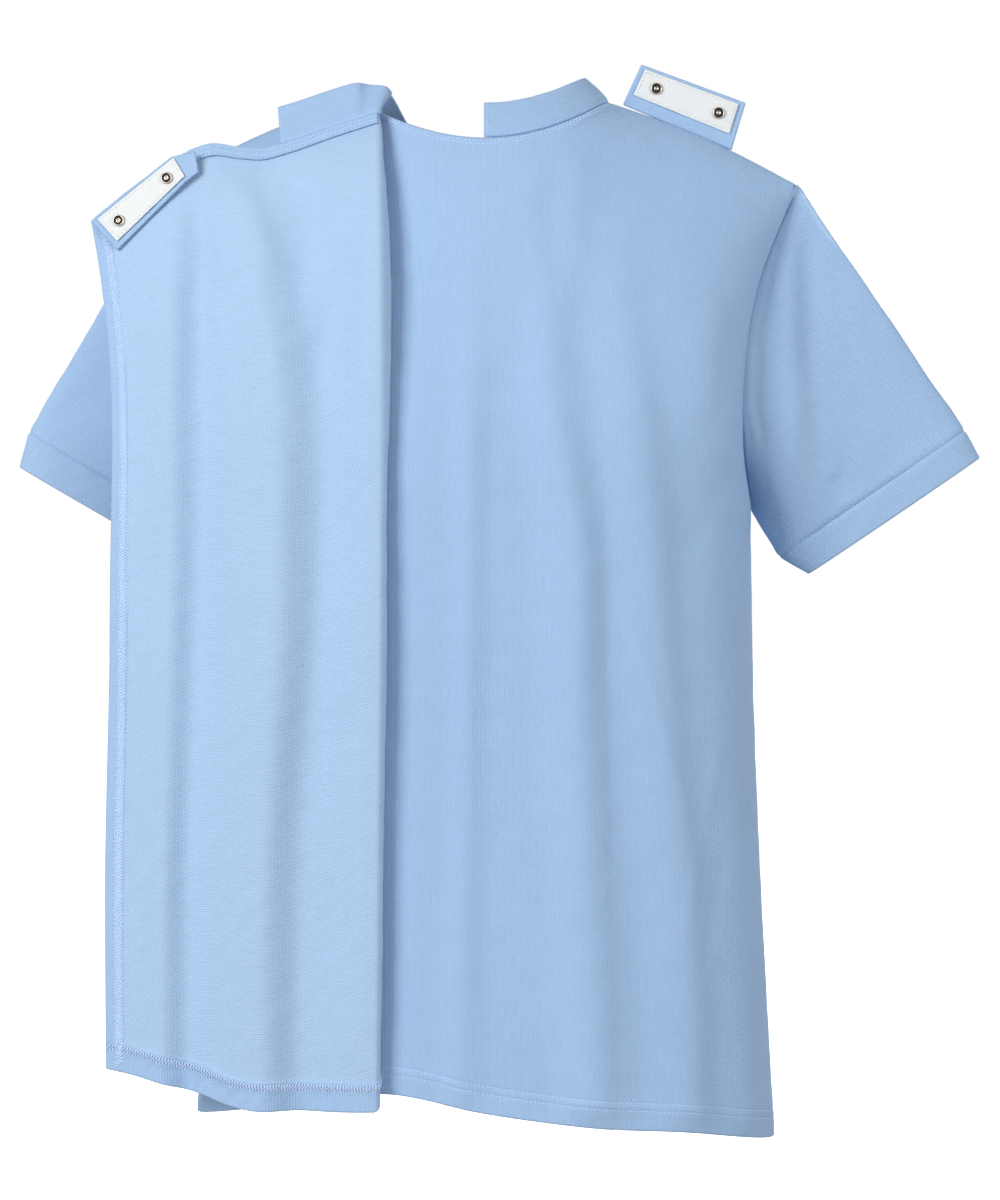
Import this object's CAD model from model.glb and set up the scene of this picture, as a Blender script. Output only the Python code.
"""Henley t-shirt with an open, lap-over back: its knitted cloth, stitching, tapes, buttons and snaps.

Metres, +Z up. The back faces -Y and the wearer's right hand is at +X. Each cloth piece is a
closed thin shell between two skins, the cloth's right side and its wrong side. A skin is a grid
of points: a row runs across the cloth and the rows go down it. Every shell carries a UV map in
metres, so that the knit has its real size and follows the cloth.
"""
import math

import bpy
import numpy as np
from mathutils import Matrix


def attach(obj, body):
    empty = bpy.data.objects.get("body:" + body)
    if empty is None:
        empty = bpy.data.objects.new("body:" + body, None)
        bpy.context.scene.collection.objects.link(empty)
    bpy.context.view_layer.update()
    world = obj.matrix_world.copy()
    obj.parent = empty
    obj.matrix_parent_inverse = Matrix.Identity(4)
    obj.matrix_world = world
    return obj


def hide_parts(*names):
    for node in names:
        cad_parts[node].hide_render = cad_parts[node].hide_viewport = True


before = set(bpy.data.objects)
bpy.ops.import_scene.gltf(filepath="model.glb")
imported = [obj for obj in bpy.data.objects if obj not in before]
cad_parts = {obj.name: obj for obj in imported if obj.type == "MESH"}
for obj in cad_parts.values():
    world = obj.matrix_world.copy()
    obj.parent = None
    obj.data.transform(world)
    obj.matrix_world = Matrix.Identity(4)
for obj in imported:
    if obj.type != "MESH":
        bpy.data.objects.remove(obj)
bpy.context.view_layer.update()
MM = 0.001

# ---- the garment's form, in metres: that of its solids, with the laps a little closer in -----
# A key of -1 is the back or the left side, and a key of 1 the front or the right side.
CLOTH = 0.0011            # one layer of jersey with its loft
HEM_CLOTH = 0.0016        # a turned hem: two layers, pressed flat
SEAM = 0.0003             # gap between two sewn pieces
LAP = 0.0035              # the left back lies this far outside the worn form
TUCK = 0.0010             # and the right back's free part this far inside it

NECK_HALF = 0.0905        # half the width of the neck edge, whose depths and drops follow
NECK_DEPTH = {-1: 0.058, 1: 0.066}
NECK_DROP = {-1: 0.0300, 1: 0.0870}
NECK_TOP_Z = 0.0020
TIP = (0.2285, 0.0, -0.0584)    # where shoulder seam and armhole meet
SHOULDER_CROWN = 0.0045
ARMHOLE_Z = (-0.0584, -0.1331, -0.2026, -0.2456, -0.2920)
ARMHOLE_X = (0.2285, 0.1985, 0.1870, 0.1862, 0.1920)
ARMHOLE_DEPTH = (0.0, 0.031, 0.046, 0.038, 0.0)
SIDE_Z = (-0.2920, -0.4344, -0.6534, -0.7504)
SIDE_X = (0.1920, 0.1949, 0.2044, 0.2102)
BODY_Z = (0.0, -0.10, -0.20, -0.32, -0.50, -0.75)
BODY_DEPTH = {
    -1: (0.108, 0.112, 0.116, 0.115, 0.112, 0.114),
    1: (0.112, 0.118, 0.124, 0.122, 0.116, 0.115),
}
SIDE_ROUND = 2.4          # power of the body's oval: 2 would be an ellipse
SHOULDER_FALL = (2.0, 0.6)      # powers of the fall from shoulder seam to full depth
NECK_SHARE = 0.25         # share of a half-panel's top edge that is neck edge

BACK_HEM_X = (-0.215, -0.150, -0.068, 0.0, 0.040, 0.082, 0.147, 0.210)
BACK_HEM_Z = (-0.733, -0.722, -0.712, -0.7255, -0.7315, -0.7365, -0.7410, -0.7504)
FRONT_HEM_X = (-0.215, -0.070, 0.060, 0.210)
FRONT_HEM_Z = (-0.733, -0.722, -0.728, -0.7504)

FOLD_Z = (-0.012, -0.150, -0.360, -0.570, -0.724)
FOLD_X = (-0.0740, -0.0705, -0.0705, -0.0725, -0.0740)
FOLD_RADIUS = 0.0045
FLAP_START_Z = (-0.012, -0.034, -0.066, -0.100, -0.150, -0.200, -0.300, -0.500, -0.724)
FLAP_START_Y = (-0.050, -0.070, -0.090, -0.104, -0.119, -0.1265, -0.131, -0.130, -0.128)
FLAP_EDGE_Z = (-0.0885, -0.117, -0.168, -0.360, -0.575, -0.695)
FLAP_EDGE_X = (-0.2828, -0.2774, -0.2702, -0.2668, -0.2702, -0.2695)
FLAP_EDGE_Y = (-0.055, -0.060, -0.071, -0.088, -0.091, -0.092)
FLAP_TOP_X = (-0.0740, -0.1042, -0.1386, -0.1579, -0.1759, -0.1953, -0.2090, -0.2552, -0.2828)
FLAP_TOP_Z = (-0.0124, -0.0215, -0.0327, -0.0372, -0.0359, -0.0336, -0.0375, -0.0662, -0.0885)
FLAP_HEM_X = (-0.0740, -0.1024, -0.1310, -0.1617, -0.1739, -0.2076, -0.2278, -0.2494, -0.2695)
FLAP_HEM_Z = (-0.7236, -0.7241, -0.7232, -0.7229, -0.7208, -0.7101, -0.7049, -0.6994, -0.6953)
LEFT_UNDER_SHARE = 0.205  # where the left back's under part turns into the fold

COLLAR_HEIGHT = 0.0265
COLLAR_NECK_HALF = 0.0735
COLLAR_NECK_DEPTH = {-1: 0.046, 1: 0.054}
COLLAR_RISE_CENTER, COLLAR_RISE_SIDE = 0.0256, 0.0177
COLLAR_BELLY = 0.0010
COLLAR_LAP = 0.0036             # how far inside the left collar the right one starts
COLLAR_WALL = 0.0018
COLLAR_FOLDED_SHARE = 0.33      # share of the flap's top edge that carries the collar
TAPE_WIDTH, TAPE_SHARE = 0.0100, 0.66   # the share is of the flap's top edge
TAPE_THICKNESS = 0.0009

SLEEVE_LENGTH = {1: 0.2165, -1: 0.2085}
SLEEVE_SLOPE = {1: 55.8, -1: 60.0}      # degrees below level
CUFF_WIDTH = {1: 0.1640, -1: 0.1540}
CUFF_THICKNESS = {1: 0.0360, -1: 0.0480}
CUFF_BAND = {1: 0.0223, -1: 0.0250}
CUFF_RISE = {1: 0.0043, -1: -0.0002}
CUFF_BAND_TAPER = 0.0134
CUFF_WALL = 0.0019
SLEEVE_FULLNESS = 0.12

# a tab's edges at shares of its length, its tape as two corners and its snaps, in shares
RIGHT_TAB = {
    "shares": (0.0, 1.0),
    "top": ((0.1146, 0.003, 0.0292), (0.1898, 0.003, 0.0015)),
    "bottom": ((0.1015, 0.0008, 0.0010), (0.1796, 0.0008, -0.0318)),
    "tape": ((0.045, 0.07), (0.945, 0.72)),
    "snaps": ((0.205, 0.40), (0.80, 0.40)),
}
LEFT_TAB = {
    "shares": (0.0, 0.79, 1.0),
    "top": ((-0.2826, -0.0600, -0.0887), (-0.2250, -0.0640, -0.0434), (-0.2085, -0.0650, -0.0398)),
    "bottom": ((-0.2640, -0.0668, -0.1090), (-0.2145, -0.0689, -0.0600), (-0.2060, -0.0682, -0.0535)),
    "tape": ((0.045, 0.08), (0.80, 0.86)),
    "snaps": ((0.16, 0.50), (0.67, 0.50)),
}
TAB_WALL = 0.0018
TAPE_ROW = 0.0016               # needle row inside a snap tape's edge
PLACKET_SHARE = 0.027           # half its width, as a share of a half-panel
PLACKET_LENGTH_LEVEL = 0.590    # level at which the placket ends
SLIT_LEVEL = 0.578              # and the slit beneath it
BUTTON_RADIUS, BUTTON_HEIGHT = 0.0055, 0.0024
BUTTON_Z = (-0.105, -0.145, -0.185)
SNAP_RADIUS, SNAP_HEIGHT = 0.0044, 0.0022

# ---- sewing -------------------------------------------------------------------------------
HEM_ROWS = (0.0132, 0.0188)     # the two needle rows of the hem, above its edge
HEM_TURN = 0.0203               # height of the turned-up cloth inside
EDGE_TURN = 0.0135              # width of the strip turned over at the flap's free edge
NECK_ROWS = (0.0058, 0.0087)    # needle rows below the neck seam
EDGE_ROWS = (0.0068, 0.0124)    # the two needle rows along the flap's free edge
LOOPER_PITCH, EDGE_LOOPER_PITCH = 0.0022, 0.0021
SHY = 0.004                     # a needle row at the neck stops short by this share
STITCH, STITCH_GAP = 0.0024, 0.0007
THREAD = 0.00034                # radius of a stitch's thread, swollen a little so that it shows
FINE_THREAD = 0.00024


# ---- small helpers ------------------------------------------------------------------------
def through(at, places, values):
    """Smooth values at `at`, through stations given in rising or falling order."""
    places, values = np.asarray(places, float), np.asarray(values, float)
    if places[0] > places[-1]:
        places, values = places[::-1], values[::-1]
    at = np.clip(at, places[0], places[-1])
    slopes = np.gradient(values, places)
    i = np.minimum(np.searchsorted(places, at, side="right") - 1, len(places) - 2)
    span = places[i + 1] - places[i]
    t = (at - places[i]) / span
    rise = (2 * t**3 - 3 * t**2 + 1) * values[i] + (3 * t**2 - 2 * t**3) * values[i + 1]
    return rise + span * ((t**3 - 2 * t**2 + t) * slopes[i] + (t**3 - t**2) * slopes[i + 1])


def blend(a, b, share):
    return a + (b - a) * share


def ease(share):
    share = np.clip(share, 0.0, 1.0)
    return share * share * (3 - 2 * share)


def bump(distance, width):
    """Bell curve: 1 at no distance, almost 0 at twice the width."""
    return np.exp(-((distance / width) ** 2))


def unit(vectors):
    lengths = np.linalg.norm(vectors, axis=-1, keepdims=True)
    return vectors / np.maximum(lengths, 1e-12)


def stack(*parts):
    return np.stack(np.broadcast_arrays(*parts), axis=-1)


def drift(u, v, size, seed):
    """Soft random waves about `size` long, from -1 to 1, the same at each run."""
    draw = np.random.default_rng(seed)
    total = 0.0
    for _ in range(7):
        turn, phase = draw.uniform(0, 2 * math.pi, 2)
        length = size * draw.uniform(0.7, 1.6)
        along = u * math.cos(turn) + v * math.sin(turn)
        total = total + np.sin(2 * math.pi * along / length + phase)
    return total / 4


def crease(x, z, points, width, height):
    """Soft ridge, or trough if height is negative, along (x, z) points; it fades at both ends."""
    points = np.asarray(points, float)
    steps = np.diff(points, axis=0)
    lengths = np.linalg.norm(steps, axis=1)
    nearest = np.full(x.shape, 1e9)
    place = np.zeros(x.shape)
    done = 0.0
    for start, step, length in zip(points, steps, lengths):
        t = np.clip(((x - start[0]) * step[0] + (z - start[1]) * step[1]) / length**2, 0, 1)
        away = np.hypot(x - start[0] - t * step[0], z - start[1] - t * step[1])
        closer = away < nearest
        nearest = np.where(closer, away, nearest)
        place = np.where(closer, done + t * length, place)
        done += length
    fade = ease(place / (0.3 * done)) * ease((done - place) / (0.3 * done))
    return height * fade * bump(nearest, width)


PLEAT_SOFTNESS = 0.0050   # how far a pleat's height is evened out to each side


def pleats(x, z, lines):
    """Height of soft pleats across x: it eases from line to line, each a crest or a trough.

    A line is its height in millimetres, then its (z, x) points from top to bottom."""
    places = [through(z, *zip(*points)) for _, points in lines]
    heights = [height * MM for height, _ in lines]

    def height_at(x):
        total = np.where(x <= places[0], heights[0], heights[-1]) * np.ones(x.shape)
        for start, end, low, high in zip(places, places[1:], heights, heights[1:]):
            inside = (x > start) & (x <= end)
            share = (x - start) / np.maximum(end - start, 1e-6)
            total = np.where(inside, low + (high - low) * ease(share), total)
        return total

    steps = PLEAT_SOFTNESS * np.linspace(-1, 1, 5)
    return sum(height_at(x + step) for step in steps) / len(steps)


# ---- the worn form ------------------------------------------------------------------------
def top_edge(face, share):
    """Neck edge, then shoulder seam, of the right half-panel; face is -1 back or 1 front."""
    turn = np.minimum(share / NECK_SHARE, 1.0) * math.pi / 2
    neck = stack(
        NECK_HALF * np.sin(turn),
        face * NECK_DEPTH[face] * np.cos(turn),
        NECK_TOP_Z - NECK_DROP[face] * np.cos(turn) ** 2,
    )
    along = (share - NECK_SHARE) / (1 - NECK_SHARE)
    shoulder = stack(
        blend(NECK_HALF, TIP[0], along),
        TIP[1],
        blend(NECK_TOP_Z, TIP[2], along) + SHOULDER_CROWN * np.sin(math.pi * along),
    )
    return np.where((share <= NECK_SHARE)[..., None], neck, shoulder)


def section_depth(fraction):
    """Depth left at a fraction of the half-width: 1 at the centre line, 0 at the side."""
    return np.maximum(0.0, 1 - np.clip(fraction, 0, 1) ** SIDE_ROUND) ** (1 / SIDE_ROUND)


def body_points(face, share, level):
    """Points of the worn form: share -1 left to 1 right armhole or side seam, 0 the centre;
    level 0 the top edge, 1 the underarm, 2 the hem."""
    share, level = np.broadcast_arrays(np.asarray(share, float), np.asarray(level, float))
    side, share = np.where(share < 0, -1.0, 1.0), np.abs(share)
    low = np.sin(share * math.pi / 2) ** (2 / SIDE_ROUND)
    top = top_edge(face, share)
    up = np.minimum(level, 1.0)
    arm_z = blend(TIP[2], ARMHOLE_Z[-1], up)
    arm_y = through(arm_z, ARMHOLE_Z, ARMHOLE_DEPTH)
    z = blend(top[..., 2], ARMHOLE_Z[-1], up)
    fraction = blend(top[..., 0] / TIP[0], low, up)
    depth = arm_y + (through(z, BODY_Z, BODY_DEPTH[face]) - arm_y) * section_depth(fraction)
    fall = (1 - (1 - up) ** SHOULDER_FALL[0]) ** SHOULDER_FALL[1]
    upper = stack(
        through(arm_z, ARMHOLE_Z, ARMHOLE_X) * fraction,
        blend(top[..., 1], face * depth, fall),
        z,
    )
    hem_x, hem_z = (BACK_HEM_X, BACK_HEM_Z) if face < 0 else (FRONT_HEM_X, FRONT_HEM_Z)
    hem = through(side * SIDE_X[-1] * low, hem_x, hem_z)
    z = blend(ARMHOLE_Z[-1], hem, np.maximum(level, 1.0) - 1)
    lower = stack(
        through(z, SIDE_Z, SIDE_X) * low,
        face * through(z, BODY_Z, BODY_DEPTH[face]) * section_depth(low),
        z,
    )
    points = np.where((level <= 1)[..., None], upper, lower)
    points[..., 0] *= side
    return points


def body_levels(upper, lower, hem_rows):
    """Levels of the rows, close together at the shoulders and over the hem."""
    hem_share = 0.052
    body = np.linspace(0, 1 - hem_share, lower + 1)[1:]
    hem = np.linspace(1 - hem_share, 1, hem_rows + 1)[1:]
    top = np.linspace(0, 1, upper + 1) ** 1.3
    return np.concatenate([top, 1 + body, 1 + hem])


def half_columns(neck, rest):
    """Shares from the centre to the side seam, close together at the side seam."""
    at_neck = np.linspace(0, NECK_SHARE, neck + 1)
    outward = 1 - (1 - np.linspace(0, 1, rest + 1)) ** 1.35
    return np.concatenate([at_neck, NECK_SHARE + (1 - NECK_SHARE) * outward[1:]])


# ---- grids --------------------------------------------------------------------------------
def grid_normals(grid, outward, around=False):
    """Unit normals of a grid, turned to the side that `outward` tells for its middle."""
    if around:
        across = np.roll(grid, -1, axis=1) - np.roll(grid, 1, axis=1)
    else:
        across = np.gradient(grid, axis=1)
    normals = unit(np.cross(across, np.gradient(grid, axis=0)))
    middle = normals[normals.shape[0] // 2, normals.shape[1] // 2]
    return -normals if middle @ np.asarray(outward) < 0 else normals


def run_down(grid):
    """Distance of each point down its column from the top row."""
    steps = np.linalg.norm(np.diff(grid, axis=0), axis=-1)
    return np.vstack([np.zeros(grid.shape[1]), np.cumsum(steps, axis=0)])


def run_across(grid):
    """Distance of each point along its row from the first column."""
    return run_down(grid.swapaxes(0, 1)).T


def settle(grid, passes=60):
    """Evens out the depth of a panel's inside, as cloth does, and keeps its edges."""
    rows, columns = grid.shape[:2]
    down = np.linspace(0, 1, rows)[:, None]
    across = np.linspace(0, 1, columns)[None, :]
    end_fade, side_fade, pace = 0.05, 0.12, 0.8
    free = ease(down / end_fade) * ease((1 - down) / end_fade)
    free = free * ease(across / side_fade) * ease((1 - across) / side_fade)
    for _ in range(passes):
        y = grid[..., 1]
        beside = y.copy()
        beside[1:-1] = (y[:-2] + y[2:]) / 2
        beside[:, 1:-1] = (beside[:, 1:-1] + (y[:, :-2] + y[:, 2:]) / 2) / 2
        grid[..., 1] += free * pace * (beside - y)


def soften_shoulders(grid):
    """Rounds the panel below the corner of neck edge and shoulder seam, as cloth over a
    shoulder does, by averaging its depth and height across real lengths."""
    step, reach, widest = 0.001, 0.018, 60
    middle_half, middle_fade, end_fade = 0.150, 0.04, 0.03
    top_fade, underarm_fade, least = 0.022, 0.35, 0.02
    around = np.arange(-widest, widest + 1) * step
    below = run_down(grid).mean(axis=1)
    for row in range(1, UPPER):
        strength = ease((below[row] - step) / top_fade)
        strength *= ease((LEVELS[UPPER] - LEVELS[row]) / underarm_fade)
        if strength <= least:
            continue
        x = grid[row, :, 0].copy()
        even = np.arange(x[0] - widest * step, x[-1] + widest * step, step)
        kernel = bump(around, reach * strength * math.sqrt(2))
        share = ease((middle_half - np.abs(x)) / middle_fade)
        share = share * ease((x - x[0]) / end_fade) * ease((x[-1] - x) / end_fade)
        for axis in (1, 2):
            line = np.interp(even, x, grid[row, :, axis])
            smooth = np.convolve(line, kernel / kernel.sum(), mode="same")
            grid[row, :, axis] = blend(grid[row, :, axis], np.interp(x, even, smooth), share)


def skin_lines(skin, lifts):
    """A skin with the direction off the cloth beside each point, from which stitches are laid."""
    return np.concatenate([skin, lifts], axis=-1)


def lengths_uv(grid):
    return np.stack([run_across(grid), run_down(grid)], axis=-1)


def line_down(field, distance, value):
    """Where each column reaches `value` of a distance that grows or shrinks down it."""
    if distance[0, 0] > distance[-1, 0]:
        field, distance = field[::-1], distance[::-1]
    return np.array([
        [np.interp(value, distance[:, c], field[:, c, k]) for k in range(field.shape[2])]
        for c in range(field.shape[1])
    ])


def line_across(field, distance, value):
    """Where each row reaches `value` of a distance that grows or shrinks along it."""
    return line_down(field.swapaxes(0, 1), distance.T, value)


# ---- meshes -------------------------------------------------------------------------------
def add_mesh(name, points, faces, materials, slots=None, uv=None, smooth=True):
    mesh = bpy.data.meshes.new(name)
    mesh.from_pydata(np.asarray(points).tolist(), [], faces)
    for material in materials:
        mesh.materials.append(material)
    if slots is not None:
        mesh.polygons.foreach_set("material_index", np.asarray(slots, np.int32))
    if uv is not None:
        layer = mesh.uv_layers.new(name="cloth")
        corners = np.empty(len(mesh.loops), np.int32)
        mesh.loops.foreach_get("vertex_index", corners)
        layer.data.foreach_set("uv", np.asarray(uv, np.float32)[corners].ravel())
    if smooth:
        mesh.shade_smooth()
    mesh.validate()
    obj = bpy.data.objects.new(name, mesh)
    bpy.context.scene.collection.objects.link(obj)
    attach(obj, "root")
    return obj


RIM_ROUND = 0.36          # how far a rim bulges, as a share of the cloth's thickness


def shell(name, right, wrong, uv, materials, around=False, keep=None, turned_over=None):
    """Closed thin shell between the right-side skin and the wrong-side skin, with round rims.

    keep marks the cells that are there, and turned_over the cells whose wrong side shows
    turned-over cloth, which has the right side's finish."""
    rows, columns = right.shape[:2]
    last = columns if around else columns - 1
    r, c = (a.ravel() for a in np.mgrid[0 : rows - 1, 0:last])
    if keep is not None:
        kept = keep[r, c]
        r, c = r[kept], c[kept]
    after = (c + 1) % columns
    cells = np.stack([r * columns + c, r * columns + after, (r + 1) * columns + after,
                      (r + 1) * columns + c], axis=1)
    wrong_slots = np.ones(len(cells), int)
    if turned_over is not None:
        wrong_slots[turned_over[r, c]] = 0
    count = rows * columns
    starts, ends = cells.ravel(), np.roll(cells, -1, axis=1).ravel()
    forward = set(zip(starts.tolist(), ends.tolist()))
    border = [(a, b) for a, b in forward if (b, a) not in forward]
    flat_right, flat_wrong = right.reshape(-1, 3), wrong.reshape(-1, 3)
    rim = sorted({a for a, _ in border})
    middle = (flat_right + flat_wrong) / 2
    near = {a: [] for a in rim}
    for cell in cells:
        for a in cell:
            if a in near:
                near[a].extend(cell)
    rim_points = []
    for a in rim:
        across = flat_right[a] - flat_wrong[a]
        lean = middle[a] - middle[near[a]].mean(axis=0)
        thick = np.linalg.norm(across)
        lean -= across * (lean @ across) / thick**2
        rim_points.append(middle[a] + unit(lean) * thick * RIM_ROUND)
    rim_index = {a: 2 * count + i for i, a in enumerate(rim)}
    faces = [*cells.tolist(), *(cells[:, ::-1] + count).tolist()]
    slots = [0] * len(cells) + wrong_slots.tolist()
    for a, b in border:
        faces.append([b, a, rim_index[a], rim_index[b]])
        faces.append([rim_index[b], rim_index[a], a + count, b + count])
        slots += [0, 0]
    points = np.concatenate([flat_right, flat_wrong, np.array(rim_points).reshape(-1, 3)])
    flat_uv = uv.reshape(-1, 2)
    all_uv = np.concatenate([flat_uv, flat_uv, flat_uv[rim]])
    used = np.unique(np.concatenate([np.asarray(f) for f in faces]))
    place = np.zeros(len(points), int)
    place[used] = np.arange(len(used))
    faces = [[int(place[i]) for i in face] for face in faces]
    points, all_uv = points[used], all_uv[used]
    sample = len(cells) // 2
    corners = flat_right[cells[sample]]
    facing = np.cross(corners[1] - corners[0], corners[2] - corners[0])
    if facing @ (corners[0] - flat_wrong[cells[sample][0]]) < 0:
        faces = [face[::-1] for face in faces]
    return add_mesh(name, points, faces, materials, slots, all_uv)


def beads(name, starts, ends, lifts, radius, material, sides=6):
    """One mesh of short swollen threads, each from a start to an end, bowed up by its lift."""
    starts, ends, lifts = (np.asarray(a, float) for a in (starts, ends, lifts))
    along = unit(ends - starts)
    upward = unit(lifts - along * np.sum(lifts * along, axis=-1, keepdims=True))
    beside = np.cross(along, upward)
    # share of the length, then swell and rise as shares of the radius
    stations = ((0.0, 0.25, -0.35), (0.16, 0.85, 0.30), (0.5, 1.0, 0.60), (0.84, 0.85, 0.30),
                (1.0, 0.25, -0.35))
    turns = np.arange(sides) * 2 * math.pi / sides
    rings = []
    for share, swell, rise in stations:
        middle = blend(starts, ends, share) + upward * radius * rise
        spokes = upward[:, None] * np.sin(turns)[:, None] + beside[:, None] * np.cos(turns)[:, None]
        rings.append(middle[:, None] + radius * swell * spokes)
    points = np.stack(rings, axis=1)
    count, size = len(starts), len(stations) * sides
    pattern = []
    for ring in range(len(stations) - 1):
        for step in range(sides):
            after = (step + 1) % sides
            a, b = ring * sides + step, ring * sides + after
            pattern.append([a, b, b + sides, a + sides])
    caps = [list(range(sides))[::-1], list(range(size - sides, size))]
    faces = []
    for item in range(count):
        base = item * size
        faces += [[i + base for i in face] for face in pattern + caps]
    return add_mesh(name, points.reshape(-1, 3), faces, [material])


def spaced(line, pitch):
    """Points every `pitch` along a line, with the rest of each row interpolated too."""
    line = np.asarray(line, float)
    lengths = np.concatenate([[0], np.cumsum(np.linalg.norm(np.diff(line[:, :3], axis=0), axis=1))])
    places = np.arange(0, lengths[-1], pitch)
    return np.stack([np.interp(places, lengths, line[:, k]) for k in range(line.shape[1])], axis=1)


def running(line):
    """Starts, ends and lifts of a row of straight stitches along a line of points + normals."""
    fine = spaced(line, (STITCH + STITCH_GAP) / 4)
    usable = len(fine) // 4 * 4 - 4
    starts, ends = fine[0:usable:4], fine[3 : usable + 3 : 4]
    return starts[:, :3], ends[:, :3], starts[:, 3:6]


def zigzag(first, second, pitch):
    """Starts, ends and lifts of thread that crosses between two lines, as a looper lays it."""
    a, b = spaced(first, pitch), spaced(second, pitch)
    count = min(len(a), len(b)) - 1
    starts = np.concatenate([a[:count, :3], b[:count, :3]])
    ends = np.concatenate([b[:count, :3], a[1 : count + 1, :3]])
    lifts = np.concatenate([a[:count, 3:6], b[:count, 3:6]])
    return starts, ends, lifts


def sew(name, rows, material, radius=THREAD):
    """Joins rows of stitches into one mesh; each row is (starts, ends, lifts)."""
    starts, ends, lifts = (np.concatenate(part) for part in zip(*rows))
    return beads(name, starts, ends, lifts, radius, material)


def round_body(name, profile, place, axis, materials, segments=48, slots=None):
    """Round body turned from (radius, height) points about an axis."""
    axis = unit(np.asarray(axis, float))
    side = unit(np.cross(axis, (0.3, 0.1, 1.0)))
    front = np.cross(axis, side)
    points, rings, faces, kinds = [], [], [], []
    for radius, height in profile:
        middle = np.asarray(place) + axis * height
        if radius == 0:
            rings.append([len(points)])
            points.append(middle)
            continue
        rings.append(list(range(len(points), len(points) + segments)))
        turns = np.arange(segments) * 2 * math.pi / segments
        spokes = side * np.cos(turns)[:, None] + front * np.sin(turns)[:, None]
        points += list(middle + spokes * radius)
    for index, (low, high) in enumerate(zip(rings, rings[1:])):
        for step in range(segments):
            after = (step + 1) % segments
            corners = [low[step % len(low)], low[after % len(low)],
                       high[after % len(high)], high[step % len(high)]]
            faces.append(list(dict.fromkeys(corners)))
            kinds.append(slots[index] if slots else 0)
    return add_mesh(name, points, faces, materials, kinds)


# ---- materials ------------------------------------------------------------------------------
def srgb(code):
    """Linear colour of an sRGB hex value."""
    parts = [int(code[i : i + 2], 16) / 255 for i in (1, 3, 5)]
    linear = [p / 12.92 if p <= 0.04045 else ((p + 0.055) / 1.055) ** 2.4 for p in parts]
    return (*linear, 1.0)


def add_node(tree, kind, inputs, output=0, **settings):
    """Adds a node with its settings and returns one output. An input is (socket, value), and
    the value is a constant or another node's output."""
    node = tree.nodes.new(kind)
    for key, value in settings.items():
        setattr(node, key, value)
    for socket, value in inputs:
        if isinstance(value, bpy.types.NodeSocket):
            tree.links.new(value, node.inputs[socket])
        else:
            node.inputs[socket].default_value = value
    return node.outputs[output]


def new_material(name, shader_inputs):
    material = bpy.data.materials.new(name)
    material.use_nodes = True
    tree = material.node_tree
    shader = tree.nodes["Principled BSDF"]
    for socket, value in shader_inputs.items():
        shader.inputs[socket].default_value = value
    return material, tree, shader


def weighted(tree, start, *parts):
    """Sum of a start and of (output, weight) parts."""
    total = start
    for output, weight in parts:
        values = enumerate((output, weight, total))
        total = add_node(tree, "ShaderNodeMath", values, operation="MULTIPLY_ADD")
    return total


def wave(tree, along, period, phase=0.0):
    """Sine of a length in metres, with a real period."""
    turns = weighted(tree, phase, (along, 2 * math.pi / period))
    return add_node(tree, "ShaderNodeMath", [(0, turns)], operation="SINE")


def cloth_axes(tree):
    """The cloth's own across and down lengths in metres, and the vector of both."""
    uv = add_node(tree, "ShaderNodeUVMap", (), uv_map="cloth")
    across = add_node(tree, "ShaderNodeSeparateXYZ", [(0, uv)])
    return across, across.node.outputs[1], uv


def streaks(tree, vector, across, down, detail=3.0):
    """Noise stretched along the threads: sizes across and down in metres."""
    sizes = [(0, vector), (1, (1 / across, 1 / down, 1.0))]
    scaled = add_node(tree, "ShaderNodeVectorMath", sizes, operation="MULTIPLY")
    settings = [("Vector", scaled), ("Scale", 1.0), ("Detail", detail)]
    return add_node(tree, "ShaderNodeTexNoise", settings, "Fac")


def specks(tree, size, detail):
    """Noise of one size in metres, fixed to the object."""
    place = add_node(tree, "ShaderNodeTexCoord", (), "Object")
    settings = [("Vector", place), ("Scale", 1 / size), ("Detail", detail)]
    return add_node(tree, "ShaderNodeTexNoise", settings, "Fac")


def tint(tree, shader, code, shade):
    """Base colour: an sRGB hex value, made darker or lighter by a shade about 1."""
    values = [(0, srgb(code)[:3]), ("Scale", shade)]
    color = add_node(tree, "ShaderNodeVectorMath", values, operation="SCALE")
    tree.links.new(color, shader.inputs["Base Color"])


def emboss(tree, shader, height, strength, distance):
    values = [("Height", height), ("Strength", strength), ("Distance", distance)]
    tree.links.new(add_node(tree, "ShaderNodeBump", values), shader.inputs["Normal"])


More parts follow.
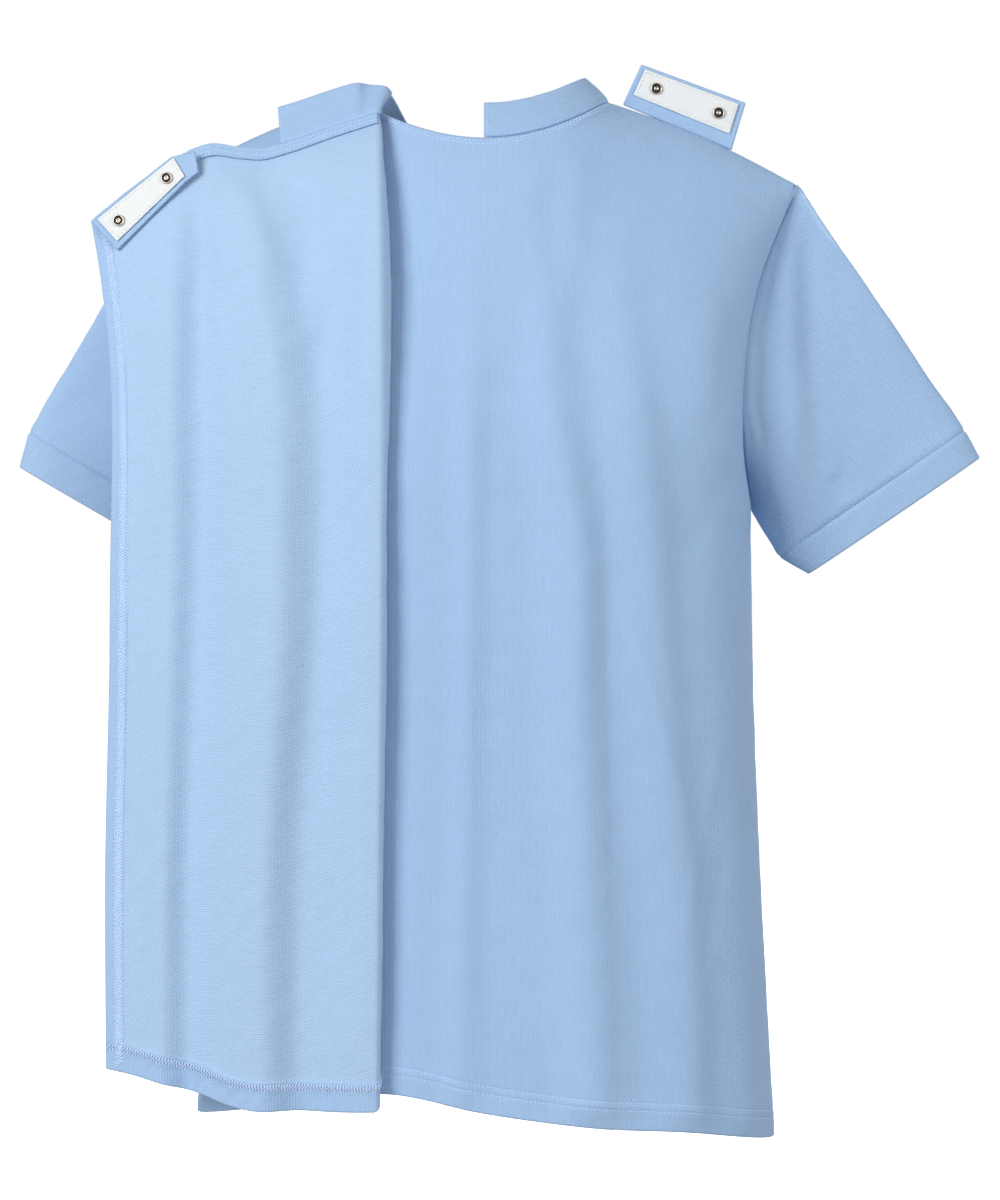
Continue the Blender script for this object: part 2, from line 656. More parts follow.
def knit(name, code, wale, course, right_side, strength):
    """Cotton jersey, ring-spun and piece-dyed. Its loops stand in wales on the right side and
    lie in courses on the wrong side, so the matt surface has fine ribs one way, with slubs and a
    little uneven dye. The loops are drawn about a third wider than real ones, so that they show."""
    material, tree, shader = new_material(name, {
        "Roughness": 0.88, "Specular IOR Level": 0.25, "IOR": 1.5,
        "Sheen Weight": 0.05, "Sheen Roughness": 0.45,
    })
    across, down, uv = cloth_axes(tree)
    courses = wave(tree, down, course)
    lean = add_node(tree, "ShaderNodeMath", [(0, courses), (1, 0.9)], operation="MULTIPLY")
    wales = wave(tree, across, wale, lean)
    ribs, rest = (wales, courses) if right_side else (courses, wales)
    pattern = weighted(tree, ribs, (rest, 0.45))
    slub_width, slub_length, fuzz_size = 1.1 * MM, 16 * MM, 1.6 * MM
    slub_sizes = (slub_width, slub_length) if right_side else (slub_length, slub_width)
    slubs = streaks(tree, uv, *slub_sizes)
    fuzz = streaks(tree, uv, fuzz_size, fuzz_size)
    dye = streaks(tree, uv, 55 * MM, 80 * MM, 2.0)
    parts = ((pattern, 0.020), (slubs, 0.16), (fuzz, 0.10), (dye, 0.05))
    tint(tree, shader, code, weighted(tree, 0.845, *parts))
    height = weighted(tree, pattern, (slubs, 1.6), (fuzz, 1.6))
    emboss(tree, shader, height, strength, 0.16 * MM)
    return material


def twill(name, code):
    """Cotton twill tape, woven and bleached: fine diagonal ribs, matt. They are drawn about
    twice as wide as real ones, so that they show."""
    material, tree, shader = new_material(name, {
        "Roughness": 0.8, "Specular IOR Level": 0.3, "Sheen Weight": 0.1,
    })
    across, down, uv = cloth_axes(tree)
    slanted = add_node(tree, "ShaderNodeMath", [(0, across), (1, down)], operation="ADD")
    ribs = wave(tree, slanted, 1.3 * MM)
    fuzz = streaks(tree, uv, 0.9 * MM, 0.9 * MM)
    tint(tree, shader, code, weighted(tree, 0.95, (ribs, 0.018), (fuzz, 0.09)))
    emboss(tree, shader, weighted(tree, ribs, (fuzz, 0.8)), 0.5, 0.12 * MM)
    return material


def sewing_thread(name, code):
    """Spun polyester thread: two plies twisted, with a slight gloss."""
    material, tree, shader = new_material(name, {
        "Roughness": 0.55, "Specular IOR Level": 0.4, "Sheen Weight": 0.15,
    })
    tint(tree, shader, code, weighted(tree, 0.88, (specks(tree, MM / 1.5, 2.0), 0.24)))
    return material


def stamped_metal(name, code, roughness, wear):
    """Stamped brass, plated: bright, with faint rubbing marks that blur its gloss."""
    material, tree, shader = new_material(name, {"Base Color": srgb(code), "Metallic": 1.0})
    gloss = weighted(tree, roughness, (specks(tree, MM / 0.9, 4.0), wear))
    tree.links.new(gloss, shader.inputs["Roughness"])
    return material


def button_resin(name, code):
    """Cast polyester resin, turned and tumbled: a soft gloss with faint clouding."""
    material, tree, shader = new_material(name, {
        "Roughness": 0.28, "IOR": 1.56, "Subsurface Weight": 0.08, "Subsurface Scale": MM,
    })
    tint(tree, shader, code, weighted(tree, 0.93, (specks(tree, MM / 0.26, 3.0), 0.10)))
    return material


RIGHT_SIDE = knit("blue jersey right side", "#A1BFE3", 1.9 * MM, 1.6 * MM, True, 0.55)
WRONG_SIDE = knit("blue jersey wrong side", "#A9C5E4", 1.9 * MM, 1.7 * MM, False, 0.50)
BAND_KNIT = knit("blue band knit", "#A1BFE2", 1.6 * MM, 1.5 * MM, True, 0.55)
JERSEY = [RIGHT_SIDE, WRONG_SIDE]
BAND = [BAND_KNIT, BAND_KNIT]
TWILL = twill("white twill tape", "#E5E8E9")
BLUE_THREAD = sewing_thread("light blue sewing thread", "#C9E0FC")
WHITE_THREAD = sewing_thread("white sewing thread", "#D8DADA")
NICKEL = stamped_metal("nickel-plated snap", "#C9C6C0", 0.22, 0.14)
SNAP_CORE = stamped_metal("tarnished brass snap well", "#5C4732", 0.42, 0.20)
RESIN = button_resin("white button resin", "#D4D6D6")


def cloth(node):
    """Takes a solid's place; the sheet itself is stated once all pieces are there."""
    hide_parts(node)


# ---- relief of the cloth --------------------------------------------------------------------
def hem_relief(along, above):
    """Puffed hem, sunk needle rows, small puckers and the hem's slanting rope."""
    puff = 0.35 * MM * ease((HEM_ROWS[1] - above) / 0.002)
    sunk = sum(-0.40 * MM * bump(above - row, 0.0010) for row in HEM_ROWS)
    pucker = 0.22 * MM * drift(along, above * 0.5, 0.0075, 31) * bump(above - 0.016, 0.010)
    rope_turn, rope_height = 0.013, 0.007
    rope = np.sin(2 * math.pi * (along + 0.6 * above) / rope_turn) * bump(above - rope_height, 0.006)
    return puff + sunk + pucker + 0.30 * MM * rope * (0.5 + 0.5 * drift(along, above, 0.06, 32))


def seam_relief(away, depth=0.9):
    """Edge that turns in at a seam, with the roll of the cloth beside it."""
    return -depth * MM * bump(away, 0.0014) + 0.25 * MM * bump(away - 0.005, 0.003)


def body_relief(face, grid, runs):
    """Folds, drape and sewing of a body panel, on its right side."""
    x, z = grid[..., 0], grid[..., 2]
    lines, shapes = (BACK_PLEATS, BACK_CREASES) if face < 0 else (FRONT_PLEATS, FRONT_CREASES)
    pleats_from, pleats_full = -0.06, -0.28
    relief = pleats(x, z, lines) * ease((pleats_from - z) / (pleats_from - pleats_full))
    relief = relief + sum(crease(x, z, *shape) for shape in shapes)
    relief = relief + 0.5 * MM * drift(x, z * 0.35, 0.075, 11 + face)
    relief = relief + 0.25 * MM * drift(x, z * 0.8, 0.024, 13 + face)
    relief = relief * ease(runs["top"] / 0.05) * ease(runs["hem"] / 0.03 + 0.4)
    relief = relief * ease(np.minimum(runs["first"], runs["last"]) / 0.025)
    return relief + hem_relief(x, runs["hem"])


# each line of a pleat: its height in mm off the form, then its (z, x) points
BACK_PLEATS = (
    (0, ((-0.20, -0.150), (-0.76, -0.165))),
    (2.4, ((-0.20, -0.120), (-0.76, -0.128))),
    (0, ((-0.20, -0.085), (-0.76, -0.090))),
    (1.6, ((-0.20, -0.052), (-0.76, -0.056))),
    (0, ((-0.20, -0.026), (-0.43, -0.024), (-0.62, -0.030), (-0.76, -0.034))),
    (3.6, ((-0.20, -0.010), (-0.43, -0.012), (-0.62, -0.017), (-0.76, -0.020))),
    (-1.2, ((-0.20, 0.008), (-0.30, 0.004), (-0.43, 0.002), (-0.76, 0.004))),
    (-1.6, ((-0.20, 0.020), (-0.30, 0.026), (-0.43, 0.031), (-0.62, 0.040), (-0.76, 0.044))),
    (6.8, ((-0.16, 0.044), (-0.24, 0.050), (-0.30, 0.064),
           (-0.43, 0.066), (-0.62, 0.075), (-0.76, 0.079))),
    (0, ((-0.16, 0.070), (-0.24, 0.076), (-0.30, 0.084), (-0.43, 0.091), (-0.62, 0.110), (-0.76, 0.114))),
    (5.4, ((-0.16, 0.098), (-0.24, 0.110), (-0.30, 0.117),
           (-0.43, 0.127), (-0.62, 0.146), (-0.76, 0.150))),
    (1.2, ((-0.16, 0.122), (-0.24, 0.133), (-0.30, 0.139),
           (-0.43, 0.146), (-0.62, 0.163), (-0.76, 0.168))),
    (4.2, ((-0.16, 0.160), (-0.24, 0.176), (-0.30, 0.172),
           (-0.43, 0.178), (-0.62, 0.188), (-0.76, 0.192))),
    (1.8, ((-0.16, 0.182), (-0.24, 0.186), (-0.30, 0.190),
           (-0.43, 0.193), (-0.62, 0.203), (-0.76, 0.207))),
)
FRONT_PLEATS = (
    (0, ((-0.16, -0.176), (-0.43, -0.182), (-0.76, -0.192))),
    (2.6, ((-0.16, -0.146), (-0.43, -0.152), (-0.76, -0.160))),
    (0, ((-0.16, -0.116), (-0.43, -0.124), (-0.76, -0.130))),
    (2.8, ((-0.16, -0.082), (-0.43, -0.090), (-0.76, -0.098))),
    (0.4, ((-0.20, -0.056), (-0.43, -0.062), (-0.76, -0.070))),
    (2.2, ((-0.20, -0.024), (-0.43, -0.026), (-0.76, -0.030))),
    (0, ((-0.24, 0.002), (-0.43, 0.004), (-0.76, 0.006))),
    (2.4, ((-0.20, 0.036), (-0.43, 0.042), (-0.76, 0.048))),
    (0, ((-0.16, 0.060), (-0.43, 0.068), (-0.76, 0.078))),
    (3.2, ((-0.16, 0.094), (-0.43, 0.104), (-0.76, 0.112))),
    (0.4, ((-0.16, 0.118), (-0.43, 0.128), (-0.76, 0.138))),
    (2.8, ((-0.16, 0.150), (-0.43, 0.158), (-0.76, 0.168))),
    (0, ((-0.16, 0.174), (-0.43, 0.182), (-0.76, 0.192))),
)
# each crease: its (x, z) points, half-width and height
BACK_CREASES = (
    (((0.094, -0.34), (0.118, -0.42), (0.140, -0.50), (0.152, -0.57)), 0.0045, 0.0007),
    (((0.108, -0.36), (0.130, -0.45), (0.148, -0.53)), 0.0045, -0.0006),
    (((0.170, -0.44), (0.160, -0.50), (0.148, -0.56), (0.140, -0.62)), 0.0045, 0.0006),
    (((0.172, -0.52), (0.164, -0.58), (0.150, -0.64)), 0.0045, -0.0006),
    (((0.140, -0.55), (0.166, -0.60), (0.186, -0.62)), 0.006, 0.0006),
    (((0.192, -0.24), (0.168, -0.28), (0.140, -0.34)), 0.008, -0.0008),
    (((0.196, -0.13), (0.176, -0.18), (0.166, -0.25)), 0.010, -0.0016),
    (((0.070, -0.02), (0.066, -0.07), (0.066, -0.14)), 0.009, 0.0008),
    (((0.046, -0.035), (0.046, -0.08), (0.052, -0.16)), 0.008, -0.0008),
    (((-0.018, -0.60), (-0.006, -0.66), (0.002, -0.71)), 0.004, 0.0005),
    (((0.030, -0.56), (0.044, -0.63), (0.050, -0.70)), 0.004, 0.0005),
)
FRONT_CREASES = (
    (((0.190, -0.22), (0.160, -0.27), (0.128, -0.34)), 0.008, -0.0018),
    (((-0.190, -0.22), (-0.160, -0.27), (-0.130, -0.33)), 0.008, -0.0018),
    (((0.088, -0.03), (0.070, -0.09), (0.056, -0.15)), 0.010, 0.0016),
    (((-0.088, -0.03), (-0.070, -0.09), (-0.058, -0.15)), 0.010, 0.0016),
    (((-0.150, -0.50), (-0.120, -0.57), (-0.100, -0.66)), 0.006, 0.0009),
    (((0.120, -0.46), (0.096, -0.53), (0.080, -0.62)), 0.006, -0.0009),
)
# the flap, as it hangs towards the viewer of the back
FLAP_PLEATS = (
    (0, ((-0.09, -0.262), (-0.20, -0.257), (-0.30, -0.254), (-0.76, -0.256))),
    (6.2, ((-0.06, -0.221), (-0.12, -0.222), (-0.20, -0.221),
           (-0.33, -0.221), (-0.56, -0.2255), (-0.76, -0.2265))),
    (-4.6, ((-0.06, -0.208), (-0.12, -0.206), (-0.20, -0.205),
            (-0.33, -0.205), (-0.56, -0.213), (-0.76, -0.213))),
    (6.0, ((-0.06, -0.192), (-0.12, -0.186), (-0.20, -0.176),
           (-0.33, -0.168), (-0.56, -0.171), (-0.76, -0.171))),
    (7.4, ((-0.06, -0.176), (-0.12, -0.164), (-0.20, -0.151),
           (-0.33, -0.1465), (-0.56, -0.1565), (-0.76, -0.1575))),
    (-9.0, ((-0.06, -0.140), (-0.12, -0.128), (-0.20, -0.1165),
            (-0.33, -0.1155), (-0.56, -0.130), (-0.76, -0.1305))),
    (0.5, ((-0.06, -0.0745), (-0.20, -0.0745), (-0.76, -0.076))),
)
FLAP_CREASES = (
    (((-0.074, -0.024), (-0.092, -0.100), (-0.112, -0.165), (-0.124, -0.23)), 0.012, -0.0030),
    (((-0.078, -0.030), (-0.080, -0.090), (-0.084, -0.160)), 0.008, 0.0014),
    (((-0.214, -0.050), (-0.198, -0.115), (-0.165, -0.185), (-0.140, -0.26)), 0.010, -0.0022),
    (((-0.186, -0.040), (-0.164, -0.090), (-0.140, -0.150)), 0.013, 0.0030),
    (((-0.150, -0.040), (-0.128, -0.080), (-0.112, -0.125)), 0.010, -0.0018),
)


def panel_runs(grid):
    down, across = run_down(grid), run_across(grid)
    return {"top": down, "hem": down[-1] - down, "first": across, "last": across[:, -1:] - across}


def cloth_uv(grid, level_row, column):
    """Lengths across from a column and down from a row, along the cloth."""
    down, across = run_down(grid), run_across(grid)
    return np.stack([across - across[:, column : column + 1], -(down - down[level_row])], axis=-1)


def part_seam(grid, face, shares):
    """Half a seam gap at the shoulders and at the side seams."""
    grid[0, np.abs(shares) >= NECK_SHARE, 1] += face * SEAM
    grid[1:, np.abs(shares) > SIDE_SHARE, 1] += face * SEAM


def skins(grid, normals, relief, thickness):
    right = grid + normals * relief[..., None]
    return right, right - normals * thickness[..., None]


def hem_thickness(above, turn=HEM_TURN):
    return CLOTH + (HEM_CLOTH - CLOTH) * ease((turn - above) / 0.0012 + 0.5)


def square_rims(normals, shares):
    """Turns rims at shoulder and side seams upright, so that two panels meet face to face."""
    normals[0, np.abs(shares) >= NECK_SHARE, 1] = 0
    normals[UPPER:, np.abs(shares) > SIDE_SHARE, 1] = 0
    return unit(normals)


def turned_cells(to_hem, to_edge=None):
    """Marks the cells under the turned-up hem and under a turned-over free edge."""
    over = (to_hem[:-1] + to_hem[1:])[:, :-1] / 2 < HEM_TURN
    if to_edge is not None:
        over |= (to_edge[:-1, :-1] + to_edge[1:, 1:]) / 2 < EDGE_TURN
    return over


SIDE_SHARE = 0.999        # from here on, a column is the side seam itself
UPPER, LOWER, HEM = 84, 84, 22    # rows above the underarm, below it and over the hem
LEVELS = body_levels(UPPER, LOWER, HEM)


def hem_stitches(outside, inside, hem):
    """Twin needle rows on the right side, and the looper's zigzag on the wrong side."""
    rows = [running(line_down(outside, hem, height)) for height in HEM_ROWS]
    looper = [line_down(inside, hem, height) for height in HEM_ROWS]
    return [*rows, zigzag(*looper, LOOPER_PITCH)]


def make_front():
    half = half_columns(26, 62)
    shares = np.concatenate([-half[:0:-1], half])
    grid = body_points(1, shares[None, :], LEVELS[:, None])
    settle(grid)
    soften_shoulders(grid)
    part_seam(grid, 1, shares)
    runs = panel_runs(grid)
    normals = square_rims(grid_normals(grid, (0, 1, 0)), shares)
    relief = body_relief(1, grid, runs)
    relief = relief + seam_relief(np.minimum(runs["first"], runs["last"])) + seam_relief(runs["top"])
    right, wrong = skins(grid, normals, relief, hem_thickness(runs["hem"]))
    slit = (np.abs(shares[:-1] + shares[1:])[None, :] / 2 < PLACKET_SHARE)
    keep = ~(slit & (LEVELS[:-1, None] < SLIT_LEVEL))
    uv = cloth_uv(grid, UPPER, len(shares) // 2)
    turned_over = turned_cells(runs["hem"])
    front = shell("front_cloth", right, wrong, uv, JERSEY, keep=keep, turned_over=turned_over)
    cloth("front")
    outside = skin_lines(right, normals)
    rows = hem_stitches(outside, skin_lines(wrong, -normals), runs["hem"])
    beside_slit = (np.abs(shares) < NECK_SHARE - SHY) & (np.abs(shares) > PLACKET_SHARE + SHY)
    for height in NECK_ROWS:
        line = line_down(outside, runs["top"], height)
        rows += [running(line[beside_slit & (np.sign(shares) == side)]) for side in (-1, 1)]
    sew("front_stitches", rows, BLUE_THREAD)


def make_back_right():
    free = -np.linspace(0.50, 0.0, 52)
    shares = np.concatenate([free[:-1], half_columns(30, 62)])
    sewn_shares = np.maximum(shares, 0)
    grid = body_points(-1, shares[None, :], LEVELS[:, None])
    settle(grid)
    soften_shoulders(grid)
    part_seam(grid, -1, sewn_shares)
    tuck_from, tuck_full = 0.065, 0.265
    tucked = ease((-shares - tuck_from) / (tuck_full - tuck_from))[None, :]
    grid -= grid_normals(grid, (0, -1, 0)) * (TUCK * tucked)[..., None]
    lowered = np.linspace(0.1, 0, 6)[:, None] * tucked
    grid[:6] = blend(grid[:6], grid[6:7], lowered[..., None])
    runs = panel_runs(grid)
    normals = square_rims(grid_normals(grid, (0, -1, 0)), sewn_shares)
    relief = body_relief(-1, grid, runs) + seam_relief(runs["last"]) + seam_relief(runs["top"], 0.7)
    right, wrong = skins(grid, normals, relief, hem_thickness(runs["hem"]))
    uv = cloth_uv(grid, UPPER, len(free) - 1)
    turned_over = turned_cells(runs["hem"], runs["first"])
    back = shell("back_right_cloth", right, wrong, uv, JERSEY, turned_over=turned_over)
    cloth("back_right")
    outside = skin_lines(right, normals)
    rows = hem_stitches(outside, skin_lines(wrong, -normals), runs["hem"])
    at_neck = np.abs(shares) < NECK_SHARE - SHY
    rows += [running(line_down(outside, runs["top"], height)[at_neck]) for height in NECK_ROWS]
    rows.append(running(line_across(outside, runs["first"], EDGE_TURN - 0.0018)))
    sew("back_right_stitches", rows, BLUE_THREAD)


# ---- the left back: under part, fold and flap -----------------------------------------------
def flap_points(share, level):
    """Points of the hanging flap: share 0 at the fold to 1 at the free edge, level 0 to 1."""
    top_z = through(blend(FLAP_TOP_X[0], FLAP_TOP_X[-1], share), FLAP_TOP_X, FLAP_TOP_Z)
    hem_z = through(blend(FLAP_HEM_X[0], FLAP_HEM_X[-1], share), FLAP_HEM_X, FLAP_HEM_Z)
    fold_z = blend(FLAP_TOP_Z[0], FLAP_HEM_Z[0], level)
    edge_z = blend(FLAP_TOP_Z[-1], FLAP_HEM_Z[-1], level)
    x = blend(through(fold_z, FOLD_Z, FOLD_X) - FOLD_RADIUS,
              through(edge_z, FLAP_EDGE_Z, FLAP_EDGE_X), share)
    y = blend(through(fold_z, FLAP_START_Z, FLAP_START_Y),
              through(edge_z, FLAP_EDGE_Z, FLAP_EDGE_Y), share)
    return stack(x, y, blend(top_z, hem_z, level))


LEFT_UNDER, BEND, FLAP = 46, 16, 132    # columns of the under part, the fold and the flap
FOLD_CLOSE = 0.0048       # the flap hangs this much nearer to the back beside its fold


def left_back_grid():
    shares = -np.linspace(1.0, LEFT_UNDER_SHARE, LEFT_UNDER)
    past_fold = -np.linspace(LEFT_UNDER_SHARE, -0.5, 40)[1:]
    under = body_points(-1, np.concatenate([shares, past_fold])[None, :], LEVELS[:, None])
    settle(under)
    soften_shoulders(under)
    under = under[:, :LEFT_UNDER]
    part_seam(under, -1, shares)
    lap = ease((1.0 + shares) / 0.3) * LAP
    under += grid_normals(under, (0, -1, 0)) * lap[None, :, None]
    fold_z = under[:, -1, 2]
    level = (fold_z - fold_z[0]) / (fold_z[-1] - fold_z[0])
    flap = flap_points(np.linspace(0, 1, FLAP + 1)[None, :], level[:, None])
    close_from_x, close_full_x, close_from_z, close_full_z = -0.150, -0.075, -0.09, -0.27
    close = ease((flap[..., 0] - close_from_x) / (close_full_x - close_from_x))
    close = close * ease((close_from_z - flap[..., 2]) / (close_from_z - close_full_z))
    flap[..., 1] += FOLD_CLOSE * close
    # the fold is a cubic curve that leaves along the under part and arrives along the flap
    last, before, first = under[:, -1], under[:, -4], flap[:, 0]
    reach = np.maximum(4 / 3 * FOLD_RADIUS, 0.55 * np.abs(first[:, 1] - last[:, 1]))
    leaving = last + unit(last - before) * reach[:, None]
    arriving = first + np.array((4 / 3 * FOLD_RADIUS, 0, 0))
    t = (np.arange(1, BEND) / BEND)[None, :, None]
    bend = ((1 - t) ** 3 * last[:, None] + 3 * t * (1 - t) ** 2 * leaving[:, None]
            + 3 * t**2 * (1 - t) * arriving[:, None] + t**3 * first[:, None])
    return np.concatenate([under, bend, flap], axis=1), shares


def make_back_left():
    """Makes the left back, and returns its grid, wrong skin, normals and the flap's first column."""
    grid, shares = left_back_grid()
    start = LEFT_UNDER + BEND - 1
    runs = panel_runs(grid)
    normals = grid_normals(grid, (0, 1, 0))
    if normals[len(normals) // 2, 3, 1] > 0:
        normals = -normals
    x, z = grid[..., 0], grid[..., 2]
    on_flap = np.arange(grid.shape[1]) - start
    grown = ease(on_flap / 14)[None, :]
    drape = pleats(x, z, FLAP_PLEATS) * ease((runs["top"] - 0.008) / 0.11)
    drape = drape + sum(crease(x, z, *shape) for shape in FLAP_CREASES)
    drape = drape + 0.5 * MM * drift(x, z * 0.35, 0.060, 21) + 0.2 * MM * drift(x, z * 0.8, 0.02, 22)
    drape = drape * ease(runs["top"] / 0.05) * ease(runs["last"] / 0.012 + 0.3)
    under_part = body_relief(-1, grid, {**runs, "last": runs["first"] + 1})
    relief = blend(under_part, hem_relief(runs["first"], runs["hem"]) - drape, grown)
    relief = relief + seam_relief(runs["first"]) * (on_flap < 0)
    thickness = np.maximum(hem_thickness(runs["hem"]), hem_thickness(runs["last"], EDGE_TURN))
    normals[:, :LEFT_UNDER] = square_rims(normals[:, :LEFT_UNDER], shares)
    right, wrong = skins(grid, normals, relief, thickness)
    uv = cloth_uv(grid, UPPER, start)
    turned_over = turned_cells(runs["hem"], runs["last"])
    back = shell("back_left_cloth", right, wrong, uv, JERSEY, turned_over=turned_over)
    cloth("back_left")
    inside = skin_lines(wrong, -normals)
    rows = hem_stitches(skin_lines(right, normals), inside, runs["hem"])
    edge_lines = [line_across(inside, runs["last"], away) for away in EDGE_ROWS]
    rows.append(zigzag(*edge_lines, EDGE_LOOPER_PITCH))
    rows += [running(line) for line in edge_lines]
    sew("back_left_stitches", rows, BLUE_THREAD)
    return grid, wrong, normals, start


# ---- sleeves and bands ------------------------------------------------------------------------
def armhole_loop(side, steps):
    """Armhole from the shoulder tip down the back to the underarm and up the front."""
    levels = (1 - np.cos(np.linspace(0, math.pi, steps + 1))) / 2
    back = body_points(-1, np.full(steps + 1, side * 1.0), levels)
    front = body_points(1, np.full(steps + 1, side * 1.0), levels)[-2:0:-1]
    return np.concatenate([back, front]), np.concatenate([levels, levels[-2:0:-1]])


def sleeve_axes(side):
    slope = math.radians(SLEEVE_SLOPE[side])
    along = np.array((side * math.cos(slope), 0, -math.sin(slope)))
    upward = np.array((side * math.sin(slope), 0, math.cos(slope)))
    return along, upward


def band_oval(side, levels, steps, center, width, thickness):
    """Flattened oval across the sleeve, its points level with the armhole's."""
    _, upward = sleeve_axes(side)
    turns = np.arccos(1 - 2 * levels)
    face = np.where(np.arange(len(levels)) <= steps, -1, 1)
    depth = stack(0 * turns, face * np.sin(turns) * thickness / 2, 0 * turns)
    return center + upward * (np.cos(turns) * width / 2)[:, None] + depth


def sleeve_ovals(side, levels, steps):
    """Oval at the band's seam, and oval at its open edge."""
    along, upward = sleeve_axes(side)
    width, thickness = CUFF_WIDTH[side], CUFF_THICKNESS[side]
    seam_center = np.array((side * TIP[0], TIP[1], TIP[2]))
    seam_center = seam_center + along * SLEEVE_LENGTH[side] - upward * width / 2
    edge_center = seam_center + along * CUFF_BAND[side] + upward * CUFF_RISE[side]
    return (
        band_oval(side, levels, steps, seam_center, width, thickness),
        band_oval(side, levels, steps, edge_center, width - CUFF_BAND_TAPER, thickness * 0.94),
    )


# each crease of a sleeve: its (x, z) points, half-width and height
SLEEVE_CREASES = {
    1: (
        (((0.2250, -0.066), (0.2205, -0.124), (0.2200, -0.166), (0.2218, -0.21), (0.2260, -0.30)),
         0.0120, 0.0046),
        (((0.2310, -0.085), (0.2350, -0.150), (0.2380, -0.215)), 0.0090, -0.0018),
        (((0.1990, -0.150), (0.1980, -0.190), (0.2000, -0.225)), 0.0060, -0.0014),
        (((0.1880, -0.205), (0.1920, -0.230), (0.1985, -0.252)), 0.0035, 0.0014),
        (((0.1915, -0.200), (0.1965, -0.228), (0.2050, -0.250)), 0.0040, -0.0013),
        (((0.2520, -0.268), (0.2610, -0.281), (0.2680, -0.290)), 0.0060, -0.0014),
    ),
    -1: (
        (((-0.2260, -0.070), (-0.2230, -0.120), (-0.2220, -0.190), (-0.2260, -0.280)),
         0.0120, 0.0036),
        (((-0.2350, -0.120), (-0.2390, -0.180), (-0.2440, -0.250)), 0.0090, -0.0018),
        (((-0.1915, -0.200), (-0.1965, -0.228), (-0.2050, -0.250)), 0.0040, -0.0013),
    ),
}
SLEEVE_STEPS, SLEEVE_ROWS, BAND_ROWS = 56, 72, 18
SEAM_ALLOWANCE = 0.0030   # of the sleeve, turned in behind the armhole seam


def make_sleeve(side, name):
    steps = SLEEVE_STEPS
    armhole, levels = armhole_loop(side, steps)
    along, _ = sleeve_axes(side)
    seam, edge = sleeve_ovals(side, levels, steps)
    start = armhole + along * 0.6 * SEAM
    shares = np.linspace(0, 1, SLEEVE_ROWS + 1) ** 1.15
    grid = blend(start[None], seam[None], shares[:, None, None])
    fullness = np.sin(math.pi * shares)[:, None] * np.sin(math.pi * levels)[None, :]
    grid[..., 1] *= 1 + SLEEVE_FULLNESS * fullness
    normals = away_from_middle(grid, grid_normals(grid, (0, -1, 0), around=True))
    x, y, z = (grid[..., axis] for axis in range(3))
    away = run_down(grid)
    to_band = away[-1] - away
    relief = 0.7 * MM * drift(x * side, z + y, 0.070, 41 + side)
    relief = relief + 0.2 * MM * drift(x * side, z + y, 0.022, 43 + side)
    relief = relief + sum(crease(x, z, *shape) for shape in SLEEVE_CREASES[side])
    relief = relief * ease(away / 0.02) * ease(to_band / 0.02)
    relief = relief + seam_relief(away, 0.45) + seam_relief(to_band, 0.85)
    relief = relief + 0.25 * MM * drift(x, z * 1.7, 0.010, 47) * bump(away, 0.012)
    right, wrong = skins(grid, normals, relief, np.full(relief.shape, CLOTH))
    uv = tube_uv(grid)
    inward = np.array((-0.5 * side, 0, 0)) * SEAM_ALLOWANCE - normals[:1] * SEAM_ALLOWANCE
    allowance = [np.concatenate([skin[:1] + inward, skin]) for skin in (right, wrong)]
    allowance_uv = np.concatenate([uv[:1] + np.array((0, SEAM_ALLOWANCE)), uv])
    sleeve = shell(f"sleeve_{name}_cloth", *allowance, allowance_uv, JERSEY, around=True)
    cloth(f"sleeve_{name}")

    band = blend(seam[None], edge[None], np.linspace(0, 1, BAND_ROWS + 1)[:, None, None])
    band_normals = away_from_middle(band, grid_normals(band, (0, -1, 0), around=True))
    down = run_down(band)
    bulge = 0.35 * MM * ease(down / 0.004) - 1.0 * MM * bump(down, 0.0010)
    bulge = bulge + 0.20 * MM * drift(band[..., 0], band[..., 2] * 1.3, 0.018, 51 + side)
    outer, inner = skins(band, band_normals, bulge, np.full(bulge.shape, CUFF_WALL))
    cuff = shell(f"cuff_{name}_band", outer, inner, tube_uv(band), BAND, around=True)
    cloth(f"cuff_{name}")
    underarm = skin_lines(wrong, -normals)[:, steps]
    sew(f"sleeve_{name}_stitches", [running(underarm)], BLUE_THREAD, FINE_THREAD)


def tube_uv(grid):
    """Lengths round a tube from the underarm, and down it."""
    around = run_across(np.concatenate([grid, grid[:, :1]], axis=1))[:, :-1]
    return np.stack([around - around[:, SLEEVE_STEPS : SLEEVE_STEPS + 1], -run_down(grid)], axis=-1)


def away_from_middle(rings, normals):
    middle = rings.mean(axis=1, keepdims=True)
    return normals if np.sum((rings - middle) * normals) > 0 else -normals


